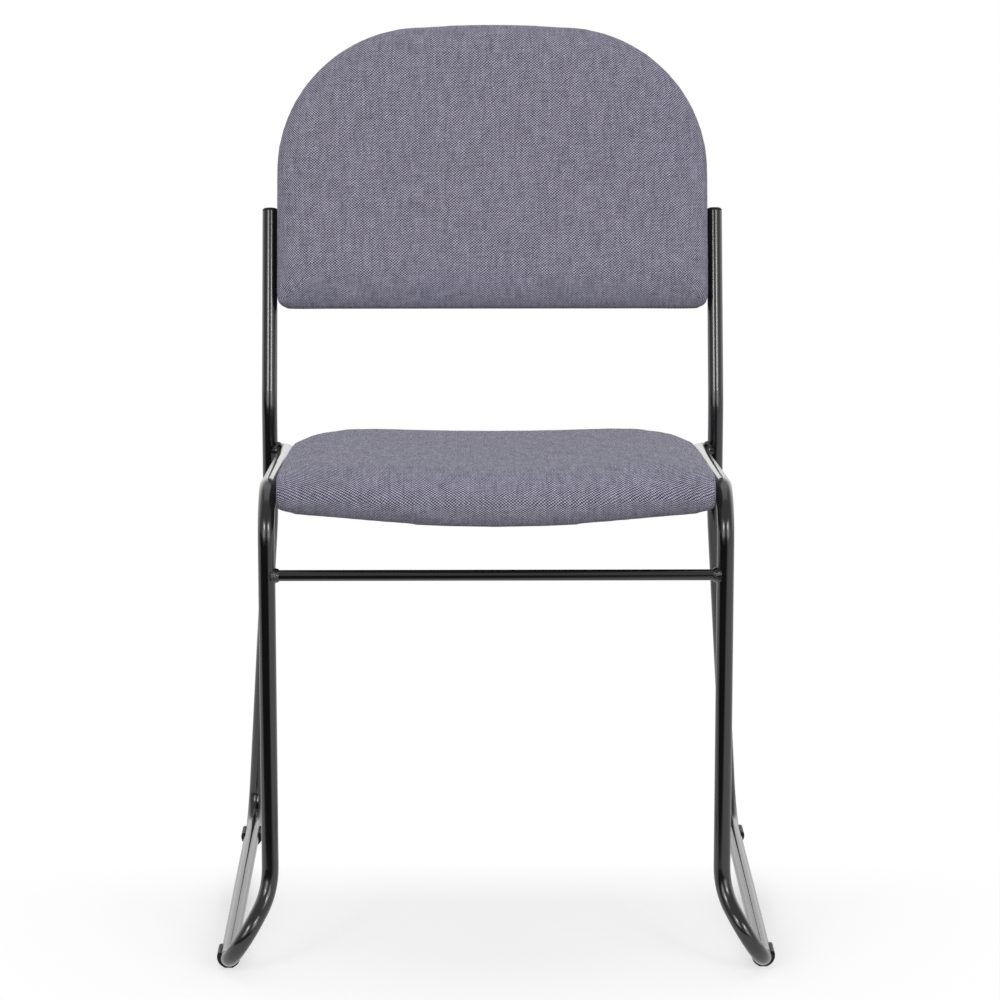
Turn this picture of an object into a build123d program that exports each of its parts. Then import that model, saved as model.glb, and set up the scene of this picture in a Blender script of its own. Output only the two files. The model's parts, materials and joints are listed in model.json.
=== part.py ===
from build123d import *
from math import cos, radians, sin, sqrt, tan
import os

# Stacking visitor chair in millimetres. +Z is up and the sitter faces -Y.
# The origin is on the floor, in the middle of the chair's box. Left and right are as seen from the front.

# Steel tube, rod and welds
tube_d = 15.4
tube_wall = 1.5
rod_d = 10.0
bead_gap = 0.05
bead_leg = 3.2
rail_bead_half_width = 7.0

# Side frame centreline
front_leg_x = 205.5
front_leg_y = -241.0
rail_front_z = 444.0
rail_tilt = 4.35
rail_length = 415.0
rail_rear_x = 207.5
rail_end_bend_r = 12.0
front_bend_r = 45.0
ankle_z = 74.0
ankle_bend_r = 50.0
toe_x = 244.2
toe_reach = 59.0
toe_bend_r = 31.5
runner_rear_x = 249.0
rear_splay = 73.0
rear_bend_r = 32.0
knee_z = 348.0
knee_bend_r = 150.0
upright_x = 225.0
waist_rise = 48.57
waist_bend_r = 90.0
upright_lean = 14.6
upright_rise = 189.0
stretcher_z = 367.0

# Plastic glides and plugs
sole_thickness = 3.0
sole_width = 9.0
sole_chamfer = 0.8
glide_wall = 3.0
glide_length = 28.0
glide_front_inset = 77.0
glide_rear_inset = 64.0
glide_cheek_height = 4.0
glide_cheek_round = 2.4
glide_clearance = 0.2
plug_depth = 14.0
plug_head = 3.0
plug_clearance = 0.1
plug_round = 2.4

# Seat pad, measured along the rails from the front legs and square to them
seat_side_gap = 0.8
seat_front_side = 6.0
seat_bow = 47.0
seat_depth = 400.0
seat_rear_corner = 70.0
seat_bottom = 15.0
seat_tuck = 4.0
seat_top = 28.7
seat_crown = 3.0
seat_tail_crown = 1.0
seat_dish = 7.4
seat_edge_drop = 13.5
seat_lip = 15.0
seat_lip_side = 7.2
seat_lip_end = 24.0
seat_edge_under = 0.3
seat_edge_over = 0.5
seat_edge_level = 0.45
seat_stations = (-1.0, -0.94, -0.8, -0.5, 0.0, 0.5, 0.8, 0.94, 1.0)
seat_board_thickness = 10.0
seat_board_inset = 9.0
seat_board_rear = 380.0
seat_board_front_r = 20.0
seat_board_rear_r = 75.0
dust_cover_thickness = 0.8
dust_cover_inset = 2.0
strap_width = 30.0
strap_thickness = 4.0
strap_front_reach = 95.0
strap_rear_reach = 300.0
strap_joggle = 5.0
seat_screw_x = 110.0

# Back pad, measured up the uprights from the waist bend and square to them
back_half_width = 217.2
back_bottom = 94.6
back_height = 288.9
back_shoulder_r = 147.0
back_foot_r = 10.0
back_rise = 2.5
back_front = 27.5
back_rear = 15.0
back_side_gap = 2.2
back_board_thickness = 9.0
back_board_rear = 3.5
back_board_inset = 5.0
back_rear_gap = 0.2
back_rear_rim = 14.0
back_rear_wall = 2.6
bracket_thickness = 3.0
bracket_height = 48.0
bracket_reach = 66.0
bracket_up = 148.0
bracket_corner_r = 6.0
bracket_slot_gap = 0.6
bracket_screw_inset = 28.0
bracket_screw_pitch = 26.0

# Upholstery and fasteners
cover_thickness = 1.5
soft_gap = 0.4
screw_d = 6.0
screw_head_d = 12.0
screw_head_height = 3.4
screw_head_round = 1.6
screw_clearance = 0.3
screw_nip = 1.0
socket_d = 4.6
socket_depth = 2.0
tee_flange_d = 18.0
tee_flange_thickness = 1.2
tee_barrel_d = 8.0
tee_clearance = 0.2
thread_gap = 0.1

# Values that follow from the sizes above
tube_r = tube_d / 2
bore_r = tube_r - tube_wall
rod_r = rod_d / 2
screw_r = screw_d / 2
tee_barrel_r = tee_barrel_d / 2
runner_z = tube_r + sole_thickness
upright_y = front_leg_y + rail_length
rail_rear_z = rail_front_z - rail_length * tan(radians(rail_tilt))
toe_y = front_leg_y - toe_reach
rear_foot_y = upright_y + rear_splay
waist_z = rail_rear_z + waist_rise
upright_top_y = upright_y + upright_rise * tan(radians(upright_lean))
upright_top_z = waist_z + upright_rise
seat_half_width = front_leg_x - tube_r - seat_side_gap
strap_top = -seat_bottom - dust_cover_thickness - bead_gap
strap_bottom = strap_top - strap_thickness
seat_board_top = seat_board_thickness - seat_bottom
back_board_front = back_board_thickness - back_board_rear
back_parting = back_board_rear + bracket_thickness

# Planes of the seat, whose rails tip back, and of the back, which leans with the uprights
tilt = radians(rail_tilt)
lean = radians(upright_lean)
seat_origin = (0, front_leg_y, rail_front_z)
seat_plane = Plane(origin=seat_origin, x_dir=(1, 0, 0), z_dir=(0, sin(tilt), cos(tilt)))
seat_side_plane = Plane(origin=seat_origin, x_dir=(0, cos(tilt), -sin(tilt)), z_dir=(1, 0, 0))
seat_front_plane = Plane(origin=seat_origin, x_dir=(1, 0, 0), z_dir=(0, -cos(tilt), sin(tilt)))
back_plane = Plane(origin=(0, upright_y, waist_z), x_dir=(1, 0, 0), z_dir=(0, -cos(lean), sin(lean)))

sides = {"left": -1, "right": 1}


def write(part, node):
    part.label = node
    export_step(part, f"parts/{node}.step")


def frame_corners(side):
    """Corners of a side frame's centreline, from the rail's joint with the upright to the upright's top."""
    return [
        Vector(side * upright_x, upright_y, rail_rear_z),
        Vector(side * rail_rear_x, upright_y, rail_rear_z),
        Vector(side * front_leg_x, front_leg_y, rail_front_z),
        Vector(side * front_leg_x, front_leg_y, ankle_z),
        Vector(side * toe_x, toe_y, runner_z),
        Vector(side * runner_rear_x, rear_foot_y, runner_z),
        Vector(side * upright_x, upright_y, knee_z),
        Vector(side * upright_x, upright_y, waist_z),
        Vector(side * upright_x, upright_top_y, upright_top_z),
    ]


def cut_bar(start, end, radius):
    """Cuts a straight round bar out of the part in hand, to seat it against a tube or rod."""
    way = end - start
    with BuildSketch(Plane(origin=start, z_dir=way)) as bar:
        Circle(radius)
    extrude(bar.sketch, amount=way.length, mode=Mode.SUBTRACT)


def bent_bar(corners, bends, radius):
    """Round bar along a line of corners, with a bend of its own radius at each."""
    with BuildPart(mode=Mode.PRIVATE) as bar:
        with BuildLine() as centreline:
            FilletPolyline(*corners, radius=bends)
        with BuildSketch(Plane(origin=corners[0], z_dir=corners[1] - corners[0])):
            Circle(radius)
        sweep(path=centreline.wire())
    return bar.part


def rail_tail(side):
    """Corners of the rail's rear half, which turns outward to meet the upright."""
    joint, turn, front = frame_corners(side)[:3]
    return [joint, turn, (turn + front) * 0.5]


def side_frame(side):
    """Bent tube whose rail end is coped to fit round its own upright."""
    corners = frame_corners(side)
    tail = rail_tail(side)
    loop = [tail[-1], *corners[2:]]
    bends = [front_bend_r, ankle_bend_r, toe_bend_r, rear_bend_r, knee_bend_r, waist_bend_r]
    knee, waist = corners[-3:-1]
    with BuildPart() as frame:
        add(bent_bar(tail, [rail_end_bend_r], tube_r))
        add(bent_bar(tail, [rail_end_bend_r], bore_r), mode=Mode.SUBTRACT)
        cut_bar(knee, waist, tube_r + bead_gap)
        with BuildPart(mode=Mode.PRIVATE) as tube:
            add(bent_bar(loop, bends, tube_r))
            add(bent_bar(loop, bends, bore_r), mode=Mode.SUBTRACT)
        add(tube.part)
    return frame.part


def end_plug(mouth, outward):
    """Plug for an open tube end: a shank in the bore and a rounded head on the rim."""
    rim = Plane(origin=mouth, z_dir=outward)
    with BuildPart() as plug:
        with BuildSketch(rim):
            Circle(bore_r - plug_clearance)
        extrude(amount=-plug_depth)
        with BuildSketch(rim):
            Circle(tube_r)
        extrude(amount=plug_head)
        fillet(plug.faces().sort_by(Axis(mouth, outward))[-1].edges(), plug_round)
    return plug.part


def front_stretcher():
    with BuildPart() as rod:
        with BuildSketch(Plane.YZ):
            with Locations((front_leg_y, stretcher_z)):
                Circle(rod_r)
        extrude(amount=front_leg_x, both=True)
        for side in sides.values():
            leg = Vector(side * front_leg_x, front_leg_y, 0)
            cut_bar(leg, leg + Vector(0, 0, rail_front_z), tube_r + bead_gap)
    return rod.part


def stretcher_weld(side):
    """Fillet bead round the stretcher's end, tapering from the leg on to the rod."""
    joint = Vector(side * front_leg_x, front_leg_y, stretcher_z)
    inward = Plane(origin=joint, z_dir=(-side, 0, 0))
    with BuildPart() as bead:
        with BuildSketch(inward.offset(tube_r / 2)):
            Circle(rod_r + bead_leg)
        with BuildSketch(inward.offset(tube_r + bead_leg)):
            Circle(rod_r + bead_leg / 4)
        loft()
        cut_bar(joint - Vector(0, 0, tube_d), joint + Vector(0, 0, tube_d), tube_r + 2 * bead_gap)
        cut_bar(joint, joint - Vector(side * tube_d, 0, 0), rod_r + bead_gap)
    return bead.part


def rail_weld(side):
    """Beads above and below the rail's end, tapering from the upright on to the rail."""
    tail = rail_tail(side)
    joint = tail[0]
    inward = Plane(origin=joint, x_dir=(0, 1, 0), z_dir=(-side, 0, 0))
    with BuildPart() as bead:
        with BuildSketch(inward.offset(tube_r / 2)):
            Ellipse(rail_bead_half_width, tube_r + bead_leg)
        with BuildSketch(inward.offset(tube_r + bead_leg)):
            Ellipse(rail_bead_half_width, tube_r + bead_leg / 4)
        loft()
        cut_bar(joint - Vector(0, 0, tube_d), joint + Vector(0, 0, tube_d), tube_r + 2 * bead_gap)
        add(bent_bar(tail, [rail_end_bend_r], tube_r + bead_gap), mode=Mode.SUBTRACT)
    return bead.part


def glide(side, middle_y):
    """Clip-on floor glide: a C of plastic round the runner, thickened to a flat sole."""
    toe, foot = frame_corners(side)[4:6]
    way = (foot - toe).normalized()
    rear_end = toe + way * ((middle_y + glide_length / 2 - toe.Y) / way.Y)
    section = Plane(origin=rear_end, x_dir=(way.Y, -way.X, 0), z_dir=-way)
    with BuildPart() as clip:
        with BuildSketch(section) as profile:
            Circle(tube_r + glide_wall)
            with Locations((0, -runner_z)):
                Rectangle(sole_width, tube_r, align=(Align.CENTER, Align.MIN))
            Circle(tube_r + glide_clearance, mode=Mode.SUBTRACT)
            with Locations((0, glide_cheek_height)):
                Rectangle(2 * tube_d, tube_d, align=(Align.CENTER, Align.MIN), mode=Mode.SUBTRACT)
            tips = profile.vertices().sort_by(Axis.X)
            fillet([tips[0], tips[-1]], glide_cheek_round)
        extrude(amount=glide_length)
        chamfer(clip.faces().sort_by(Axis.Z)[0].edges(), sole_chamfer)
    return clip.part


def seat_form(skin, drop):
    """Seat pad's form, drawn in by skin: side profiles lofted from one edge of the seat to the other.

    The front edge bows forward and rolls over a lip, and the rear corners and the sides draw in. The flat
    underside is let down by drop, to open the form at the bottom.
    """
    with BuildPart() as form:
        for share in seat_stations:
            front = seat_front_side - seat_bow * (1 - share**2) + skin
            rear = seat_depth - seat_rear_corner * share**6 - skin
            top = seat_top + seat_dish * (share**2 - 1) - seat_edge_drop * share**8 - skin
            bottom = skin - seat_bottom + seat_tuck * share**8
            chin = bottom - seat_lip_side - (seat_lip - seat_lip_side) * (1 - share**2) ** 2
            nose = top - chin
            tail = top - bottom
            with BuildSketch(seat_side_plane.offset(share * (seat_half_width - skin))):
                with BuildLine():
                    under_rear = (rear - seat_edge_under * tail - drop, bottom - drop)
                    under_front = (seat_lip_end + skin, bottom - drop)
                    nose_under = (front + seat_edge_under * nose, chin)
                    nose_over = (front + seat_edge_over * nose, top - seat_crown)
                    tail_over = (rear - seat_edge_over * tail, top - seat_tail_crown)
                    Line(under_rear, under_front)
                    Line(under_front, nose_under)
                    ThreePointArc(nose_under, (front, chin + seat_edge_level * nose), nose_over)
                    ThreePointArc(nose_over, ((front + rear) / 2, top), tail_over)
                    ThreePointArc(tail_over, (rear, bottom + seat_edge_level * tail), under_rear)
                make_face()
        loft()
    return form.part


def seat_board_outline(inset):
    half = seat_half_width - seat_board_inset - inset
    front = seat_lip_end + cover_thickness + soft_gap + inset
    rear = seat_board_rear - inset
    with BuildSketch(mode=Mode.PRIVATE) as outline:
        with BuildLine():
            Polyline((-half, front), (half, front), (half, rear), (-half, rear), close=True)
        make_face()
        fillet(outline.vertices().group_by(Axis.Y)[0], seat_board_front_r)
        fillet(outline.vertices().group_by(Axis.Y)[-1], seat_board_rear_r - inset)
    return outline.sketch


seat_screw_points = [
    (x, reach) for x in (-seat_screw_x, seat_screw_x) for reach in (strap_front_reach, strap_rear_reach)
]


def seat_board():
    with BuildPart() as board:
        with BuildSketch(seat_plane.offset(-seat_bottom)):
            add(seat_board_outline(0))
        extrude(amount=seat_board_thickness)
        drill_tee_seats(seat_plane.offset(seat_board_top), seat_screw_points, seat_board_thickness)
    return board.part


def drill_tee_seats(face, points, thickness):
    """Cuts a barrel hole and a flange recess for each tee nut into the board in hand."""
    with BuildSketch(face) as barrels:
        with Locations(*points):
            Circle(tee_barrel_r + tee_clearance)
    extrude(barrels.sketch, amount=-thickness, mode=Mode.SUBTRACT)
    with BuildSketch(face) as recesses:
        with Locations(*points):
            Circle(tee_flange_d / 2 + tee_clearance)
    extrude(recesses.sketch, amount=-tee_flange_thickness, mode=Mode.SUBTRACT)


def tee_nuts(face, points, thickness):
    """Tee nuts set flush in a board's face: a flange and a threaded barrel each."""
    with BuildPart() as nuts:
        with BuildSketch(face):
            with Locations(*points):
                Circle(tee_flange_d / 2)
        extrude(amount=-tee_flange_thickness)
        with BuildSketch(face):
            with Locations(*points):
                Circle(tee_barrel_r)
        extrude(amount=-thickness)
        with BuildSketch(face):
            with Locations(*points):
                Circle(screw_r + thread_gap)
        extrude(amount=-thickness, mode=Mode.SUBTRACT)
    return nuts.part


def screws(seat, points, shank):
    """Pan-head screws whose heads bear on the plane seat, from its underside, with hexagon sockets."""
    head_face = seat.offset(-screw_head_height)
    with BuildPart() as group:
        with BuildSketch(head_face):
            with Locations(*points):
                Circle(screw_head_d / 2)
        extrude(amount=screw_head_height)
        fillet(group.faces().group_by(Axis(seat.origin, seat.z_dir))[0].edges(), screw_head_round)
        with BuildSketch(seat):
            with Locations(*points):
                Circle(screw_r)
        extrude(amount=shank)
        with BuildSketch(head_face):
            with Locations(*points):
                RegularPolygon(socket_d / 2, 6)
        extrude(amount=socket_depth, mode=Mode.SUBTRACT)
    return group.part


def seat_foam():
    with BuildPart() as foam:
        add(seat_form(cover_thickness + soft_gap, 2 * cover_thickness))
        with BuildSketch(seat_plane.offset(-seat_bottom)):
            add(seat_board_outline(-soft_gap))
        extrude(amount=seat_board_thickness + bead_gap, mode=Mode.SUBTRACT)
        with BuildSketch(seat_plane.offset(-seat_bottom)):
            with Locations((0, seat_lip_end)):
                Rectangle(2 * seat_half_width, seat_depth, align=(Align.CENTER, Align.MIN))
        extrude(amount=-seat_bottom, mode=Mode.SUBTRACT)
    return foam.part


def seat_cover():
    with BuildPart() as cover:
        add(seat_form(0, 0))
        add(seat_form(cover_thickness, 2 * cover_thickness), mode=Mode.SUBTRACT)
    return cover.part


def seat_dust_cover():
    with BuildPart() as sheet:
        with BuildSketch(seat_plane.offset(-seat_bottom - dust_cover_thickness)):
            add(seat_board_outline(dust_cover_inset))
            with Locations(*seat_screw_points):
                Circle(screw_r + screw_clearance, mode=Mode.SUBTRACT)
        extrude(amount=dust_cover_thickness)
    return sheet.part


def seat_strap(reach):
    """Flat bar under the seat whose ends step up to lie under the rails."""
    rail_x = front_leg_x + (rail_rear_x - front_leg_x) * reach / rail_length
    tab_top = -tube_r - bead_gap
    step_in = seat_half_width - bead_gap
    step_out = step_in + strap_joggle
    lean_in = strap_thickness / 2
    tab_end = rail_x + tube_r
    right = [
        (step_in + lean_in, strap_bottom),
        (step_out + lean_in, tab_top - strap_thickness),
        (tab_end, tab_top - strap_thickness),
        (tab_end, tab_top),
        (step_out, tab_top),
        (step_in, strap_top),
    ]
    left = [(-x, z) for x, z in reversed(right)]
    with BuildPart() as strap:
        with BuildSketch(seat_front_plane.offset(-reach - strap_width / 2)):
            with BuildLine():
                Polyline(*right, *left, close=True)
            make_face()
        extrude(amount=strap_width)
        with BuildSketch(seat_plane.offset(strap_top)):
            with Locations((-seat_screw_x, reach), (seat_screw_x, reach)):
                Circle(screw_r + screw_clearance)
        extrude(amount=-strap_thickness, mode=Mode.SUBTRACT)
    return strap.part


def back_outline(inset, foot_lift=0.0):
    """Back pad's arch, drawn in by inset: a flat foot, straight sides, round shoulders and a low rise.

    The foot is drawn in further by foot_lift.
    """
    half = back_half_width - inset
    foot = back_bottom + inset + foot_lift
    peak = back_bottom + back_height - inset
    shoulder = back_shoulder_r - inset
    spring = peak - back_rise - shoulder
    slant = sqrt(0.5)
    with BuildSketch(mode=Mode.PRIVATE) as outline:
        with BuildLine():
            Line((back_foot_r - half, foot), (half - back_foot_r, foot))
            for side in (1, -1):
                toe = side * (half - back_foot_r)
                turn = side * (half - shoulder)
                ThreePointArc(
                    (toe, foot),
                    (toe + side * back_foot_r * slant, foot + back_foot_r * (1 - slant)),
                    (side * half, foot + back_foot_r),
                )
                Line((side * half, foot + back_foot_r), (side * half, spring))
                ThreePointArc(
                    (side * half, spring),
                    (turn + side * shoulder * slant, spring + shoulder * slant),
                    (turn, spring + shoulder),
                )
            ThreePointArc((half - shoulder, peak - back_rise), (0, peak), (shoulder - half, peak - back_rise))
        make_face()
    return outline.sketch


# Back pad's front, from the sides to the middle: height off the back plane, draw-in all round, further
# draw-in of the foot, which rolls under, and turn to the front
back_levels = [
    (2.0, back_side_gap, 0.0, 0.0),
    (9.5, 0.5, 1.0, 0.0),
    (13.0, 0.0, 3.5, 0.0),
    (19.0, 2.0, 7.0, 0.4),
    (23.5, 9.0, 9.0, 0.8),
    (back_front - 1.2, 36.0, 4.0, 1.0),
    (back_front, 90.0, 0.0, 1.0),
]


def back_form(skin, rear):
    """Back pad's front form, drawn in by skin, from the level rear out to its crown."""
    with BuildPart() as form:
        with BuildSketch(back_plane.offset(rear)):
            add(back_outline(back_side_gap + skin))
        for level, inset, foot_lift, turned in back_levels:
            if level > rear:
                with BuildSketch(back_plane.offset(level - skin * turned)):
                    add(back_outline(inset + skin * (1 - turned), foot_lift))
        loft(ruled=True)
    return form.part


back_screw_points = [
    (side * (upright_x - tube_r - bracket_screw_inset), bracket_up + step * bracket_screw_pitch / 2)
    for side in (-1, 1)
    for step in (-1, 1)
]


def back_board():
    with BuildPart() as board:
        with BuildSketch(back_plane.offset(-back_board_rear)):
            add(back_outline(back_board_inset))
        extrude(amount=back_board_thickness)
        drill_tee_seats(back_plane.offset(back_board_front), back_screw_points, back_board_thickness)
    return board.part


def back_foam():
    return back_form(cover_thickness + soft_gap, back_board_front + bead_gap)


def back_cover():
    with BuildPart() as cover:
        add(back_form(0, -back_parting))
        add(back_form(cover_thickness, -back_parting - cover_thickness), mode=Mode.SUBTRACT)
        with BuildSketch(back_plane.offset(-back_parting)):
            for side in sides.values():
                with Locations((side * back_half_width, bracket_up)):
                    Rectangle(2 * back_board_inset, bracket_height + 2 * bracket_slot_gap)
        extrude(amount=bracket_thickness + bracket_slot_gap, mode=Mode.SUBTRACT)
    return cover.part


def back_rear_cover():
    rim = -back_parting - back_rear_gap
    with BuildPart() as tray:
        with BuildSketch(back_plane.offset(rim)):
            add(back_outline(back_side_gap))
        with BuildSketch(back_plane.offset((rim - back_rear) / 2)):
            add(back_outline(back_side_gap + cover_thickness))
        with BuildSketch(back_plane.offset(-back_rear)):
            add(back_outline(back_rear_rim))
        loft()
        with BuildSketch(back_plane.offset(rim)):
            add(back_outline(back_rear_rim))
        extrude(amount=back_rear_wall - back_rear - rim, mode=Mode.SUBTRACT)
    return tray.part


def back_bracket(side):
    """Plate on the upright's inner side that lies behind the back board and takes two screws."""
    inner_end = upright_x - tube_r - bracket_reach
    width = upright_x - inner_end
    foot, top = frame_corners(side)[-2:]
    with BuildPart() as plate:
        with BuildSketch(back_plane.offset(-back_board_rear)):
            with Locations((side * (inner_end + width / 2), bracket_up)):
                RectangleRounded(width, bracket_height, bracket_corner_r)
            with Locations(*back_screw_points):
                Circle(screw_r + screw_clearance, mode=Mode.SUBTRACT)
        extrude(amount=-bracket_thickness)
        cut_bar(foot, top, tube_r + bead_gap)
    return plate.part


os.makedirs("parts", exist_ok=True)
for name, side in sides.items():
    corners = frame_corners(side)
    write(side_frame(side), f"side_frame_{name}")
    write(end_plug(corners[-1], corners[-1] - corners[-2]), f"upright_plug_{name}")
    write(stretcher_weld(side), f"stretcher_weld_{name}")
    write(rail_weld(side), f"rail_weld_{name}")
    write(glide(side, toe_y + glide_front_inset), f"glide_front_{name}")
    write(glide(side, rear_foot_y - glide_rear_inset), f"glide_rear_{name}")
    write(back_bracket(side), f"back_bracket_{name}")
write(front_stretcher(), "front_stretcher")
write(seat_strap(strap_front_reach), "seat_strap_front")
write(seat_strap(strap_rear_reach), "seat_strap_rear")
write(seat_board(), "seat_board")
write(seat_foam(), "seat_foam")
write(seat_cover(), "seat_cover")
write(seat_dust_cover(), "seat_dust_cover")
seat_shank = strap_thickness + dust_cover_thickness + seat_board_thickness - screw_nip
write(screws(seat_plane.offset(strap_bottom), seat_screw_points, seat_shank), "seat_screws")
write(tee_nuts(seat_plane.offset(seat_board_top), seat_screw_points, seat_board_thickness), "seat_tee_nuts")
write(back_board(), "back_board")
write(back_foam(), "back_foam")
write(back_cover(), "back_cover")
write(back_rear_cover(), "back_rear_cover")
back_shank = bracket_thickness + back_board_thickness - screw_nip
write(screws(back_plane.offset(-back_parting), back_screw_points, back_shank), "back_screws")
write(tee_nuts(back_plane.offset(back_board_front), back_screw_points, back_board_thickness), "back_tee_nuts")
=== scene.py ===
import json
from math import atan2, cos, exp, hypot, pi, radians, sin, sqrt

import bpy
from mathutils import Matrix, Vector


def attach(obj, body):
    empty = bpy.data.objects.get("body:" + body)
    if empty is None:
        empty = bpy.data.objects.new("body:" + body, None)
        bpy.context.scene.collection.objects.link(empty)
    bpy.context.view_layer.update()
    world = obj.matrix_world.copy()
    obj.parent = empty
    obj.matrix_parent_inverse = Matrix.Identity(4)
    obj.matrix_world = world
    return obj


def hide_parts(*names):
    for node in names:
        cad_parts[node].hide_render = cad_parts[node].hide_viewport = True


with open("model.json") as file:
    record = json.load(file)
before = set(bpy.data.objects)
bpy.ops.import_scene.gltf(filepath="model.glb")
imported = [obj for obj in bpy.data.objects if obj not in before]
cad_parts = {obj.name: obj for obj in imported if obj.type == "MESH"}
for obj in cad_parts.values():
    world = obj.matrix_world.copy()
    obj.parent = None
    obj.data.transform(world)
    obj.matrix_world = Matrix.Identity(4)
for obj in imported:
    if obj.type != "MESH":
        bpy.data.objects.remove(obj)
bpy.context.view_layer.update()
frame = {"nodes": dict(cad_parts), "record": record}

nodes = frame["nodes"]
MM = 0.001
warp_yarns_per_metre = 655.0
weft_yarns_per_metre = 770.0

# Seat pad in millimetres, along the rails from the front legs and square to them
seat_half_width = 197.0
seat_front_side = 6.0
seat_bow = 47.0
seat_depth = 400.0
seat_rear_corner = 70.0
seat_bottom = 15.0
seat_tuck = 1.0
seat_top = 28.7
seat_crown = 3.0
seat_tail_crown = 1.0
seat_dish = 7.4
seat_edge_drop = 13.5
seat_lip = 15.0
seat_lip_side = 7.2
seat_lip_end = 24.0
seat_end_tuck = 4.5
seat_edge_under = 0.3
seat_edge_over = 0.5
seat_edge_level = 0.45
seat_board_inset = 11.0
seat_board_rear = 378.0
seat_board_front_r = 20.0
seat_board_rear_r = 73.0
strap_reaches = (95.0, 300.0)
dust_thickness = 0.5
dust_front_gap = 4.0
dust_drop = 0.1
dust_slack = 1.5
dust_slack_run = 40.0
dust_ripple = 0.15
dust_ripple_length = 9.0
strap_grip = 18.0

# Back pad in millimetres, up the uprights from the waist bend and square to them
back_half_width = 217.2
back_bottom = 94.6
back_top = 383.5
back_shoulder_r = 147.0
back_foot_r = 10.0
back_rise = 2.5
back_front = 27.5
back_rear = 15.0

# Stuffing of the pads, in metres where it is a length
pad_voxel = 0.004
pad_pressure = 4.0
pad_swell = 0.002
panel_pressure = 1.0
panel_swell = 0.001
cloth_steps = 20
ease_passes = 4

# Seat and back planes, as the frame carries them
seat_origin = Vector((0, -0.241, 0.444))
seat_tilt = radians(4.35)
seat_axes = (
    Vector((1, 0, 0)),
    Vector((0, cos(seat_tilt), -sin(seat_tilt))),
    Vector((0, sin(seat_tilt), cos(seat_tilt))),
)
back_origin = Vector((0, 0.174, 0.461))
back_lean = radians(14.6)
back_axes = (
    Vector((1, 0, 0)),
    Vector((0, sin(back_lean), cos(back_lean))),
    Vector((0, -cos(back_lean), sin(back_lean))),
)


class Value:
    """A shader value that takes part in sums."""

    def __init__(self, graph, socket):
        self.graph = graph
        self.socket = socket

    def maths(self, operation, *values):
        return self.graph.add("ShaderNodeMath", {"operation": operation}, dict(enumerate(values)))

    def __add__(self, other):
        return self.maths("ADD", self, other)

    def __sub__(self, other):
        return self.maths("SUBTRACT", self, other)

    def __rsub__(self, other):
        return self.maths("SUBTRACT", other, self)

    def __mul__(self, other):
        return self.maths("MULTIPLY", self, other)

    def __truediv__(self, other):
        return self.maths("DIVIDE", self, other)

    def __pow__(self, other):
        return self.maths("POWER", self, other)

    __radd__ = __add__
    __rmul__ = __mul__

    def clamped(self):
        return self.maths("MINIMUM", self.maths("MAXIMUM", self, 0.0), 1.0)

    def part(self):
        return self.maths("FRACT", self)

    def whole(self):
        return self.maths("FLOOR", self)

    def sine(self):
        return self.maths("SINE", self)

    def modulo(self, other):
        return self.maths("FLOORED_MODULO", self, other)


class Graph:
    """A node tree that is written as expressions."""

    def __init__(self, tree):
        self.tree = tree
        tree.nodes.clear()

    def add(self, kind, settings, sockets, output=0):
        node = self.tree.nodes.new(kind)
        for name, value in settings.items():
            if name == "stops":
                set_stops(node.color_ramp.elements, value)
            else:
                setattr(node, name, value)
        for name, value in sockets.items():
            if isinstance(value, Value):
                self.tree.links.new(value.socket, node.inputs[name])
            else:
                node.inputs[name].default_value = value
        return Value(self, node.outputs[output]) if node.outputs else None

    def place(self):
        return self.add("ShaderNodeTexCoord", {}, {}, "Object")

    def split(self, vector):
        separate = self.add("ShaderNodeSeparateXYZ", {}, {"Vector": vector}).socket.node
        return [Value(self, output) for output in separate.outputs]

    def joined(self, east, north):
        return self.add("ShaderNodeCombineXYZ", {}, {0: east, 1: north})

    def noise(self, vector, scale, detail=2.0, roughness=0.5):
        sockets = {"Vector": vector, "Scale": scale, "Detail": detail, "Roughness": roughness}
        return self.add("ShaderNodeTexNoise", {}, sockets)

    def stretched(self, vector, factors):
        return self.add("ShaderNodeVectorMath", {"operation": "MULTIPLY"}, {0: vector, 1: factors})

    def mixed(self, share, first, second):
        settings = {"data_type": "RGBA", "blend_type": "MIX"}
        return self.add("ShaderNodeMix", settings, {0: share, 6: first, 7: second}, 2)

    def shaded(self, colour, factor):
        """A colour made lighter or darker by a number that varies."""
        grey = self.add("ShaderNodeCombineColor", {}, {0: factor, 1: factor, 2: factor})
        settings = {"data_type": "RGBA", "blend_type": "MULTIPLY"}
        return self.add("ShaderNodeMix", settings, {0: 1.0, 6: colour, 7: grey}, 2)

    def ramp(self, value, stops):
        return self.add("ShaderNodeValToRGB", {"stops": stops}, {"Fac": value})

    def bump(self, height, distance, strength=1.0):
        sockets = {"Height": height, "Distance": distance, "Strength": strength}
        return self.add("ShaderNodeBump", {}, sockets)

    def surface(self, **sockets):
        named = {name.replace("_", " "): value for name, value in sockets.items()}
        shader = self.add("ShaderNodeBsdfPrincipled", {}, named)
        self.add("ShaderNodeOutputMaterial", {}, {"Surface": shader})


def set_stops(elements, stops):
    while len(elements) < len(stops):
        elements.new(0.5)
    for element, (position, colour) in zip(elements, stops):
        element.position = position
        element.color = colour


def new_finish(name):
    material = bpy.data.materials.new(name)
    material.use_nodes = True
    return material, Graph(material.node_tree)


def grey(level):
    return (level, level, level, 1.0)


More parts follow.
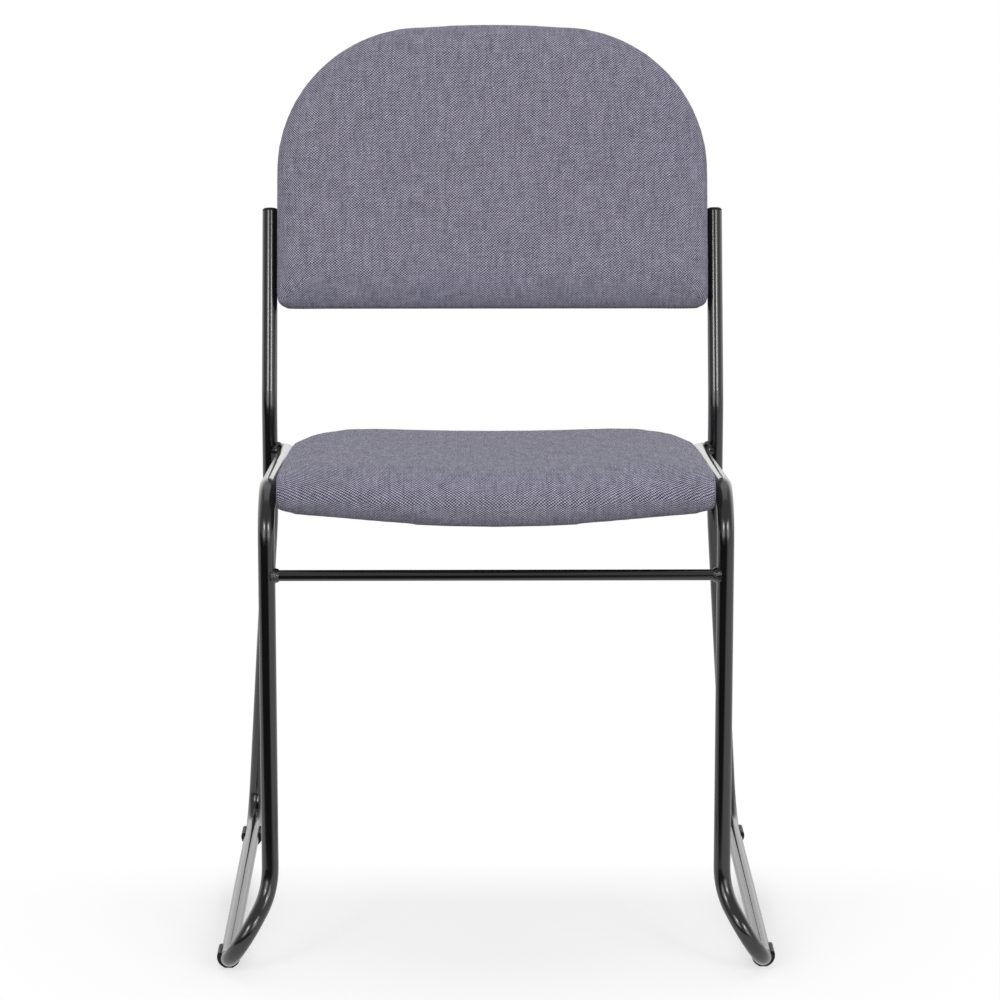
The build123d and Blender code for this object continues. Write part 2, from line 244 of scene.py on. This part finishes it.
def black_paint(name, scale, depth, strength):
    """Satin black powder coat, over a surface with ripples of a scale and depth."""
    material, graph = new_finish(name)
    place = graph.place()
    peel = graph.noise(place, scale, 3.0)
    patches = graph.noise(place, 14.0, 3.0)
    graph.surface(
        Base_Color=graph.mixed(patches, (0.003, 0.003, 0.0032, 1), (0.006, 0.006, 0.0065, 1)),
        Roughness=0.13 + patches * 0.05 + peel * 0.02,
        Specular_IOR_Level=0.85,
        Normal=graph.bump(peel, depth, strength),
    )
    return material


def black_plastic():
    """Moulded black plastic with a fine spark-eroded grain."""
    material, graph = new_finish("black_plastic")
    place = graph.place()
    grain = graph.noise(place, 1600.0, 2.0)
    wear = graph.noise(place, 60.0, 4.0)
    graph.surface(
        Base_Color=graph.mixed(wear, (0.006, 0.006, 0.006, 1), (0.016, 0.016, 0.0165, 1)),
        Roughness=0.38 + wear * 0.2 + grain * 0.08,
        Specular_IOR_Level=0.3,
        Normal=graph.bump(grain, 0.0002, 0.5),
    )
    return material


def upholstery():
    """Grey two-tone hopsack: a light and a dark yarn in a plain weave, on the pad's own UV map, with
    painted shade where the yarns dip between each other.
    """
    material, graph = new_finish("upholstery")
    place = graph.place()
    across, along, _ = graph.split(graph.add("ShaderNodeUVMap", {"uv_map": "weave"}, {}))
    drift = graph.noise(place, 55.0, 2.0) - 0.5
    wander = graph.noise(place, 170.0, 1.0) - 0.5
    warp = across * warp_yarns_per_metre + drift * 0.6 + wander
    weft = along * weft_yarns_per_metre + drift * 0.6 - wander
    turn = (warp.whole() + weft.whole()).modulo(2.0)
    crown = ((warp.part() * pi).sine() * (weft.part() * pi).sine()) ** 0.5
    fibre = graph.noise(place, 2600.0, 2.0)
    warp_slub = graph.noise(graph.joined(warp * 0.7, weft * 0.07), 1.0, 2.0)
    weft_slub = graph.noise(graph.joined(warp * 0.07, weft * 0.7), 1.0, 2.0)
    fleck = graph.noise(place, 260.0, 3.0) - 0.5
    streak = graph.noise(graph.joined(warp * 0.25, weft * 0.03), 1.0, 2.0) - 0.5
    tint = graph.noise(place, 9.0, 2.0)
    light = graph.mixed(tint, (0.572, 0.56, 0.69, 1), (0.554, 0.542, 0.7, 1))
    yarn = graph.mixed(turn, (0.055, 0.054, 0.073, 1), light)
    slub = 0.05 + fibre * 0.3 + warp_slub * 0.9 + weft_slub * 0.7 + fleck * 0.5 + streak * 0.45
    # Painted shade: each yarn is painted darker towards its edges, where it dips under the next yarn, and
    # lightest on its crown; the slubs, flecks and streaks are the yarns' own tone
    shade = (0.62 + crown * 0.42) * slub
    graph.surface(
        Base_Color=graph.shaded(yarn, shade),
        Roughness=0.82 + fibre * 0.15,
        Specular_IOR_Level=0.25,
        Sheen_Weight=0.04,
        Sheen_Roughness=0.45,
        Normal=graph.bump(crown * 0.8 + fibre * 0.2, 0.0004, 0.6),
    )
    return material


def dust_cloth():
    """Black non-woven cloth: short matted fibres with a pressed dimple grid."""
    material, graph = new_finish("dust_cloth")
    place = graph.place()
    east, north, _ = graph.split(place)
    dimple = (east * 2600.0).sine() * (north * 2600.0).sine()
    fibre = graph.noise(graph.stretched(place, (1.0, 3.0, 1.0)), 700.0, 4.0)
    graph.surface(
        Base_Color=graph.mixed(fibre, (0.008, 0.008, 0.008, 1), (0.035, 0.034, 0.035, 1)),
        Roughness=0.85 + fibre * 0.12,
        Normal=graph.bump(dimple * 0.4 + fibre * 0.6, 0.0002, 0.6),
    )
    return material


def zinc_steel():
    """Bright zinc plate, faintly mottled and rubbed."""
    material, graph = new_finish("zinc_steel")
    place = graph.place()
    spangle = graph.noise(place, 500.0, 3.0)
    rub = graph.noise(graph.stretched(place, (1.0, 1.0, 9.0)), 900.0, 2.0)
    graph.surface(
        Base_Color=graph.mixed(spangle, (0.48, 0.49, 0.5, 1), (0.66, 0.66, 0.65, 1)),
        Metallic=1.0,
        Roughness=0.26 + spangle * 0.16 + rub * 0.08,
        Normal=graph.bump(rub, 0.00005, 0.4),
    )
    return material


def plywood():
    """Bare birch plywood: long grain on the faces and glue lines at the edge."""
    material, graph = new_finish("plywood")
    place = graph.place()
    grain = graph.noise(graph.stretched(place, (60.0, 4.0, 60.0)), 6.0, 5.0, 0.65)
    flecks = graph.noise(graph.stretched(place, (400.0, 30.0, 400.0)), 2.0, 2.0)
    graph.surface(
        Base_Color=graph.ramp(grain * 0.8 + flecks * 0.2, [
            (0.3, (0.42, 0.27, 0.14, 1)),
            (0.55, (0.60, 0.43, 0.25, 1)),
            (0.8, (0.68, 0.52, 0.33, 1)),
        ]),
        Roughness=0.6 + grain * 0.2,
        Normal=graph.bump(grain, 0.0003, 0.3),
    )
    return material


finishes = {
    "frame_paint": black_paint("frame_paint", 900.0, 0.00003, 0.03),
    "black_plastic": black_plastic(),
    "upholstery": upholstery(),
    "dust_cloth": dust_cloth(),
    "zinc_steel": zinc_steel(),
    "plywood": plywood(),
}

# Foam is always under its cover, and takes the cover's finish
finishes["foam"] = finishes["upholstery"]

for subpart in frame["record"]["subparts"]:
    node = nodes[subpart["node"]]
    node.data.materials.clear()
    node.data.materials.append(finishes[subpart["material_slot"]])

weld_paint = black_paint("weld_paint", 420.0, 0.0012, 0.8)
for name, node in nodes.items():
    if "weld" in name:
        node.data.materials.clear()
        node.data.materials.append(weld_paint)


def arc(first, through, last, count):
    """Points on the circle arc from first, by way of through, short of last."""
    (ax, ay), (bx, by), (cx, cy) = first, through, last
    twice = 2 * (ax * (by - cy) + bx * (cy - ay) + cx * (ay - by))
    a2, b2, c2 = ax * ax + ay * ay, bx * bx + by * by, cx * cx + cy * cy
    mx = (a2 * (by - cy) + b2 * (cy - ay) + c2 * (ay - by)) / twice
    my = (a2 * (cx - bx) + b2 * (ax - cx) + c2 * (bx - ax)) / twice
    radius = hypot(ax - mx, ay - my)
    start = atan2(ay - my, ax - mx)
    sweep = (atan2(cy - my, cx - mx) - start) % (2 * pi)
    middle = (atan2(by - my, bx - mx) - start) % (2 * pi)
    if middle > sweep:
        sweep -= 2 * pi
    angles = [start + sweep * step / count for step in range(count)]
    return [(mx + radius * cos(angle), my + radius * sin(angle)) for angle in angles]


def line(first, last, count):
    return [
        (first[0] + (last[0] - first[0]) * step / count, first[1] + (last[1] - first[1]) * step / count)
        for step in range(count)
    ]


def on_plane(origin, axes, x, y, height):
    """A point given in a pad's own millimetres, in the chair's metres."""
    return origin + (axes[0] * x + axes[1] * y + axes[2] * height) * MM


def mesh_piece(name, points, faces):
    mesh = bpy.data.meshes.new(name)
    mesh.from_pydata([tuple(point) for point in points], [], faces)
    mesh.update()
    piece = bpy.data.objects.new(name, mesh)
    bpy.context.scene.collection.objects.link(piece)
    return piece


def pick(piece):
    bpy.ops.object.select_all(action="DESELECT")
    piece.select_set(True)
    bpy.context.view_layer.objects.active = piece


def lofted(name, rings):
    """A closed skin through rings of equal length, with its two ends capped."""
    count = len(rings[0])
    points = [point for ring in rings for point in ring]
    faces = [tuple(range(count))[::-1], tuple(range(len(points) - count, len(points)))]
    for ring in range(len(rings) - 1):
        for step in range(count):
            low = ring * count
            after = (step + 1) % count
            faces.append((low + step, low + after, low + count + after, low + count + step))
    piece = mesh_piece(name, points, faces)
    pick(piece)
    bpy.ops.object.mode_set(mode="EDIT")
    bpy.ops.mesh.select_all(action="SELECT")
    bpy.ops.mesh.normals_make_consistent(inside=False)
    bpy.ops.object.mode_set(mode="OBJECT")
    return piece


def seat_edges(share):
    """Front and rear ends of the seat pad at a share of its half width."""
    return seat_front_side - seat_bow * (1 - share**2), seat_depth - seat_rear_corner * share**6


def seat_ring(share, fullness):
    """Side profile of the seat pad at a share of its half width, let out by fullness."""
    front, rear = seat_edges(share)
    front -= fullness
    rear += fullness
    top = seat_top + seat_dish * (share**2 - 1) - seat_edge_drop * share**8 + fullness
    bottom = seat_tuck * share**8 - seat_bottom
    chin = bottom - seat_lip_side - (seat_lip - seat_lip_side) * (1 - share**2) ** 2 - fullness
    chin += seat_end_tuck * share**40
    nose, tail = top - chin, top - bottom
    under_rear = (rear - seat_edge_under * tail, bottom)
    under_front = (seat_lip_end, bottom)
    nose_under = (front + seat_edge_under * nose, chin)
    nose_over = (front + seat_edge_over * nose, top - seat_crown)
    tail_over = (rear - seat_edge_over * tail, top - seat_tail_crown)
    profile = line(under_rear, under_front, 30) + line(under_front, nose_under, 8)
    profile += arc(nose_under, (front, chin + seat_edge_level * nose), nose_over, 16)
    profile += arc(nose_over, ((front + rear) / 2, top), tail_over, 40)
    profile += arc(tail_over, (rear, bottom + seat_edge_level * tail), under_rear, 16)
    x = share * seat_half_width
    return [on_plane(seat_origin, seat_axes, x, reach, height) for reach, height in profile]


def back_ring(level, inset, foot_lift=0.0):
    """Outline of the back pad at a height off the back plane, drawn in by inset and at its foot by more."""
    half, foot, peak = back_half_width - inset, back_bottom + inset + foot_lift, back_top - inset
    shoulder, toe = back_shoulder_r - inset, back_foot_r
    spring = peak - back_rise - shoulder
    slant = sqrt(0.5)
    right = arc(
        (half - toe, foot),
        (half - toe + toe * slant, foot + toe - toe * slant),
        (half, foot + toe),
        6,
    )
    right += line((half, foot + toe), (half, spring), 16)
    right += arc(
        (half, spring),
        (half - shoulder + shoulder * slant, spring + shoulder * slant),
        (half - shoulder, spring + shoulder),
        30,
    )
    crown = peak - back_rise
    top = arc((half - shoulder, crown), (0, peak), (shoulder - half, crown), 12)
    left = [(-x, y) for x, y in reversed(right)]
    left = [(shoulder - half, spring + shoulder)] + left
    bottom = line((toe - half, foot), (half - toe, foot), 40)[1:]
    return [on_plane(back_origin, back_axes, x, y, level) for x, y in right + top + left + bottom]


def stuffed(piece, pressure, cap, origin, axis, held):
    """Remeshes a pad and blows its cover up by cloth simulation, outwards only and by no more than cap.

    The cover is held still where it lies lower than held, from origin along axis.
    """
    pick(piece)
    piece.data.remesh_voxel_size = pad_voxel
    bpy.ops.object.voxel_remesh()
    start = [(vertex.co.copy(), vertex.normal.copy()) for vertex in piece.data.vertices]
    pinned = [i for i, (point, _) in enumerate(start) if (point - origin).dot(axis) < held]
    group = piece.vertex_groups.new(name="held")
    group.add(pinned, 1.0, "REPLACE")
    cloth = piece.modifiers.new("cover", "CLOTH")
    cloth.settings.vertex_group_mass = "held"
    cloth.settings.use_pressure = True
    cloth.settings.uniform_pressure_force = pressure
    cloth.settings.effector_weights.gravity = 0.0
    cloth.settings.quality = 5
    scene = bpy.context.scene
    for step in range(1, cloth_steps + 1):
        scene.frame_set(step)
    bpy.ops.object.modifier_apply(modifier="cover")
    scene.frame_set(1)
    for vertex, (begun, outward) in zip(piece.data.vertices, start):
        swell = max((vertex.co - begun).dot(outward), 0.0)
        vertex.co = begun + outward * cap * (1 - exp(-swell / cap))
    piece.vertex_groups.clear()
    smooth = piece.modifiers.new("ease", "SMOOTH")
    smooth.factor = 0.5
    smooth.iterations = ease_passes
    bpy.ops.object.modifier_apply(modifier="ease")
    divide = piece.modifiers.new("divide", "SUBSURF")
    divide.levels = 1
    divide.render_levels = 1
    bpy.ops.object.modifier_apply(modifier="divide")
    bpy.ops.object.shade_smooth()
    return piece


def seat_roll(x, y):
    """How far a point is from the seat's nearest edge, and the way that the cloth rolls over that edge."""
    front, rear = seat_edges(min(abs(x) / seat_half_width, 1.0))
    side = 1 if x > 0 else -1
    return min((seat_half_width - abs(x), (side, 0)), (y - front, (0, -1)), (rear - y, (0, 1)))


def back_roll(x, y):
    """The same for the back, whose cloth rolls out from the shoulders' centres."""
    turn = back_half_width - back_shoulder_r
    spring = back_top - back_rise - back_shoulder_r
    side = 1 if x > 0 else -1
    if abs(x) > turn and y > spring:
        away = hypot(abs(x) - turn, y - spring)
        return back_shoulder_r - away, (side * (abs(x) - turn) / away, (y - spring) / away)
    return min((back_half_width - abs(x), (side, 0)), (y - back_bottom, (0, -1)), (back_top - y, (0, 1)))


def weave_map(piece, origin, axes, crest, roll):
    """Lays the cloth over the pad: flat on its face, rolled down over its edges and back in underneath."""
    spots = []
    for vertex in piece.data.vertices:
        x, y, height = [(vertex.co - origin).dot(axis) / MM for axis in axes]
        inset, way = roll(x, y)
        laid = max(crest - height, 0.0)
        if vertex.normal.dot(axes[2]) < 0:
            laid += 2 * max(inset, 0.0)
        spots.append(((x + way[0] * laid) * MM, (y + way[1] * laid) * MM))
    layer = piece.data.uv_layers.new(name="weave")
    layer.data.foreach_set("uv", [value for loop in piece.data.loops for value in spots[loop.vertex_index]])


def dress(piece, slot, *stands_for):
    piece.data.materials.clear()
    piece.data.materials.append(finishes[slot])
    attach(piece, "root")
    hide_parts(*stands_for)


# Seat pad
seat_shares = [-1.0, -0.985, -0.96, -0.93, -0.88, -0.8, -0.7, -0.6, -0.5, -0.35, -0.2]
seat_shares = seat_shares + [0.0] + [-share for share in reversed(seat_shares)]
seat_fullness = 0.8
seat_pad_held = -0.0125
seat_pad = lofted("seat_pad", [seat_ring(share, seat_fullness) for share in seat_shares])
stuffed(seat_pad, pad_pressure, pad_swell, seat_origin, seat_axes[2], seat_pad_held)
weave_map(seat_pad, seat_origin, seat_axes, seat_top - seat_dish - seat_crown, seat_roll)
dress(seat_pad, "upholstery", "seat_cover", "seat_foam")

# Back pad: height off the back plane, draw-in all round and further draw-in of the foot
back_levels = [
    (-6.5, 2.2, 0.0),
    (2.0, 2.2, 0.0),
    (9.5, 0.5, 1.0),
    (13.0, 0.0, 3.5),
    (19.0, 2.0, 7.0),
    (23.5, 9.0, 9.0),
    (back_front - 1.2, 36.0, 4.0),
    (back_front, 90.0, 0.0),
]
back_fullness = 0.6
back_pad_held = -0.003
back_rings = [back_ring(level, inset - back_fullness, foot_lift) for level, inset, foot_lift in back_levels]
back_pad = lofted("back_pad", back_rings)
stuffed(back_pad, pad_pressure, pad_swell, back_origin, back_axes[2], back_pad_held)
weave_map(back_pad, back_origin, back_axes, back_front, back_roll)
dress(back_pad, "upholstery", "back_cover", "back_foam")

# Rear of the back, a lightly padded panel in the same cloth
rear_levels = [(-6.9, 2.2), (-10.85, 3.7), (-13.4, 8.5), (-14.8, 20.0), (-back_rear, 60.0)]
rear_axes = (back_axes[0], back_axes[1], -back_axes[2])
panel_draw_in = 0.3
back_panel_held = 0.009
back_panel = lofted("back_panel", [back_ring(level, inset + panel_draw_in) for level, inset in rear_levels])
stuffed(back_panel, panel_pressure, panel_swell, back_origin, rear_axes[2], back_panel_held)
weave_map(back_panel, back_origin, rear_axes, back_rear, back_roll)
dress(back_panel, "upholstery", "back_rear_cover")


def cover_half_width(reach, front):
    """Half width of the dust cover, whose corners are round, at a reach along the seat."""
    half = seat_half_width - seat_board_inset
    if reach < front + seat_board_front_r:
        into = front + seat_board_front_r - reach
        return half - seat_board_front_r + sqrt(seat_board_front_r**2 - into**2)
    if reach > seat_board_rear - seat_board_rear_r:
        into = reach - seat_board_rear + seat_board_rear_r
        return half - seat_board_rear_r + sqrt(seat_board_rear_r**2 - into**2)
    return half


def dust_cover():
    """Cloth stapled under the seat board, which hangs a little between the straps."""
    front = seat_lip_end + dust_front_gap
    rows, columns = 70, 40
    points = []
    for row in range(rows + 1):
        reach = front + (seat_board_rear - front) * row / rows
        half = cover_half_width(reach, front)
        held = [abs(reach - strap) - strap_grip for strap in strap_reaches]
        free = min(held + [reach - front, seat_board_rear - reach])
        slack = dust_slack * min(max(free / dust_slack_run, 0.0), 1.0) ** 2
        for column in range(columns + 1):
            share = 2 * column / columns - 1
            ripple = dust_ripple * sin(reach / dust_ripple_length + 4 * share)
            sag = slack * (1 - share**2) + ripple * (1 - share**2) * slack
            height = -seat_bottom - dust_drop - sag
            points.append(on_plane(seat_origin, seat_axes, share * half, reach, height))
    faces = []
    for row in range(rows):
        for column in range(columns):
            low = row * (columns + 1) + column
            faces.append((low, low + columns + 1, low + columns + 2, low + 1))
    sheet = mesh_piece("dust_cover", points, faces)
    pick(sheet)
    thick = sheet.modifiers.new("thick", "SOLIDIFY")
    thick.thickness = dust_thickness * MM
    thick.offset = 1.0
    bpy.ops.object.modifier_apply(modifier="thick")
    bpy.ops.object.shade_smooth_by_angle(angle=radians(40))
    return sheet


dust = dust_cover()
dress(dust, "dust_cloth", "seat_dust_cover")

# Floor: matt white near the chair, so that it keeps the shadow, and plain white further off and behind
bpy.ops.object.select_all(action="DESELECT")
bpy.ops.mesh.primitive_plane_add(size=1.0)
floor = bpy.context.object
floor.name = "floor"
floor.scale = (80, 80, 1)
floor.location = (0, 38.2, -0.0002)
bpy.ops.object.transform_apply(location=True, rotation=False, scale=True)
floor_material, graph = new_finish("floor_white")
east, north, _ = graph.split(graph.place())
to_camera = graph.add("ShaderNodeLightPath", {}, {}, "Is Camera Ray")
to_gloss = graph.add("ShaderNodeLightPath", {}, {}, "Is Glossy Ray")
far = (((east**2.0 + north**2.0) ** 0.5 - 0.23) / 0.36).clamped()
behind = ((north + 0.03) / 0.14).clamped()
kept = (1 - far) * (1 - behind)
ahead = north + 0.3
gloom = ((0.12 - (east * 0.95 + ahead * 0.31)) / 0.24).clamped() * ((-0.1 - ahead) / 0.12).clamped()
matt = graph.add("ShaderNodeBsdfDiffuse", {}, {"Color": grey(0.28)})
pale = graph.add("ShaderNodeBsdfDiffuse", {}, {"Color": grey(0.7)})
lift = graph.add("ShaderNodeEmission", {}, {"Color": grey(1.0), "Strength": 0.43})
shaded = graph.add("ShaderNodeAddShader", {}, {0: pale, 1: lift})
white = graph.add("ShaderNodeEmission", {}, {"Color": grey(1.0), "Strength": 1.0})
mirrored = graph.add("ShaderNodeEmission", {}, {"Color": grey(1.0), "Strength": 0.9 - gloom * 0.87})
seen = graph.add("ShaderNodeMixShader", {}, {0: kept, 1: white, 2: shaded})
lit = graph.add("ShaderNodeMixShader", {}, {0: to_gloss, 1: matt, 2: mirrored})
shader = graph.add("ShaderNodeMixShader", {}, {0: to_camera, 1: lit, 2: seen})
graph.add("ShaderNodeOutputMaterial", {}, {"Surface": shader})
floor.data.materials.append(floor_material)

# Studio: white to the camera, soft from all round, and dark low down at the camera's end
world = bpy.data.worlds.new("studio")
bpy.context.scene.world = world
world.use_nodes = True
graph = Graph(world.node_tree)
east, north, height = graph.split(graph.add("ShaderNodeTexCoord", {}, {}, "Generated"))
camera_ray = graph.add("ShaderNodeLightPath", {}, {}, "Is Camera Ray")
gloss_ray = graph.add("ShaderNodeLightPath", {}, {}, "Is Glossy Ray")
gloom = ((0.05 - (east * 0.95 + north * 0.31)) / 0.1).clamped() * ((0.05 - north) / 0.1).clamped()
gloom = gloom * ((0.14 - height) / 0.1).clamped() * gloss_ray
backdrop = ((north + 0.1) / 0.5).clamped() * ((0.75 - height) / 0.4).clamped()
right_wall = ((east - 0.3) / 0.3).clamped() * ((0.5 - height) / 0.3).clamped()
level = (0.36 + gloss_ray * 0.1 + backdrop + right_wall * 0.3) * (1 - gloom * 0.95)
strength = camera_ray + (1 - camera_ray) * level
sky = graph.add("ShaderNodeBackground", {}, {"Color": grey(1.0), "Strength": strength})
graph.add("ShaderNodeOutputWorld", {}, {"Surface": sky})


def softbox(name, place, target, width, height, radiance):
    lamp = bpy.data.lights.new(name, "AREA")
    lamp.shape = "RECTANGLE"
    lamp.size = width
    lamp.size_y = height
    lamp.energy = radiance * pi * width * height
    box = bpy.data.objects.new(name, lamp)
    box.location = place
    box.rotation_euler = (Vector(target) - Vector(place)).to_track_quat("-Z", "Y").to_euler()
    bpy.context.scene.collection.objects.link(box)


softbox("overhead", (0.0, 0.6, 2.7), (0.0, 0.0, 0.4), 2.6, 2.2, 0.6)
for side in (-1, 1):
    softbox("front_softbox", (side * 1.5, -2.6, 1.3), (0.0, 0.0, 0.45), 1.6, 1.6, 2.2)
    softbox("front_strip", (side * 1.4, -2.7, 1.68), (0.0, 0.0, 0.5), 0.5, 0.45, 11.0)

# Camera, where the photograph was taken from
lens = bpy.data.cameras.new("camera")
lens.lens = 125.515
lens.sensor_width = 36.0
lens.clip_end = 200.0
camera = bpy.data.objects.new("camera", lens)
camera.location = (-0.0252, -3.305, 0.9818)
camera.rotation_euler = (radians(90 - 10.11), 0, radians(-0.535))
bpy.context.scene.collection.objects.link(camera)
bpy.context.scene.camera = camera
bpy.context.scene.view_settings.view_transform = "Standard"
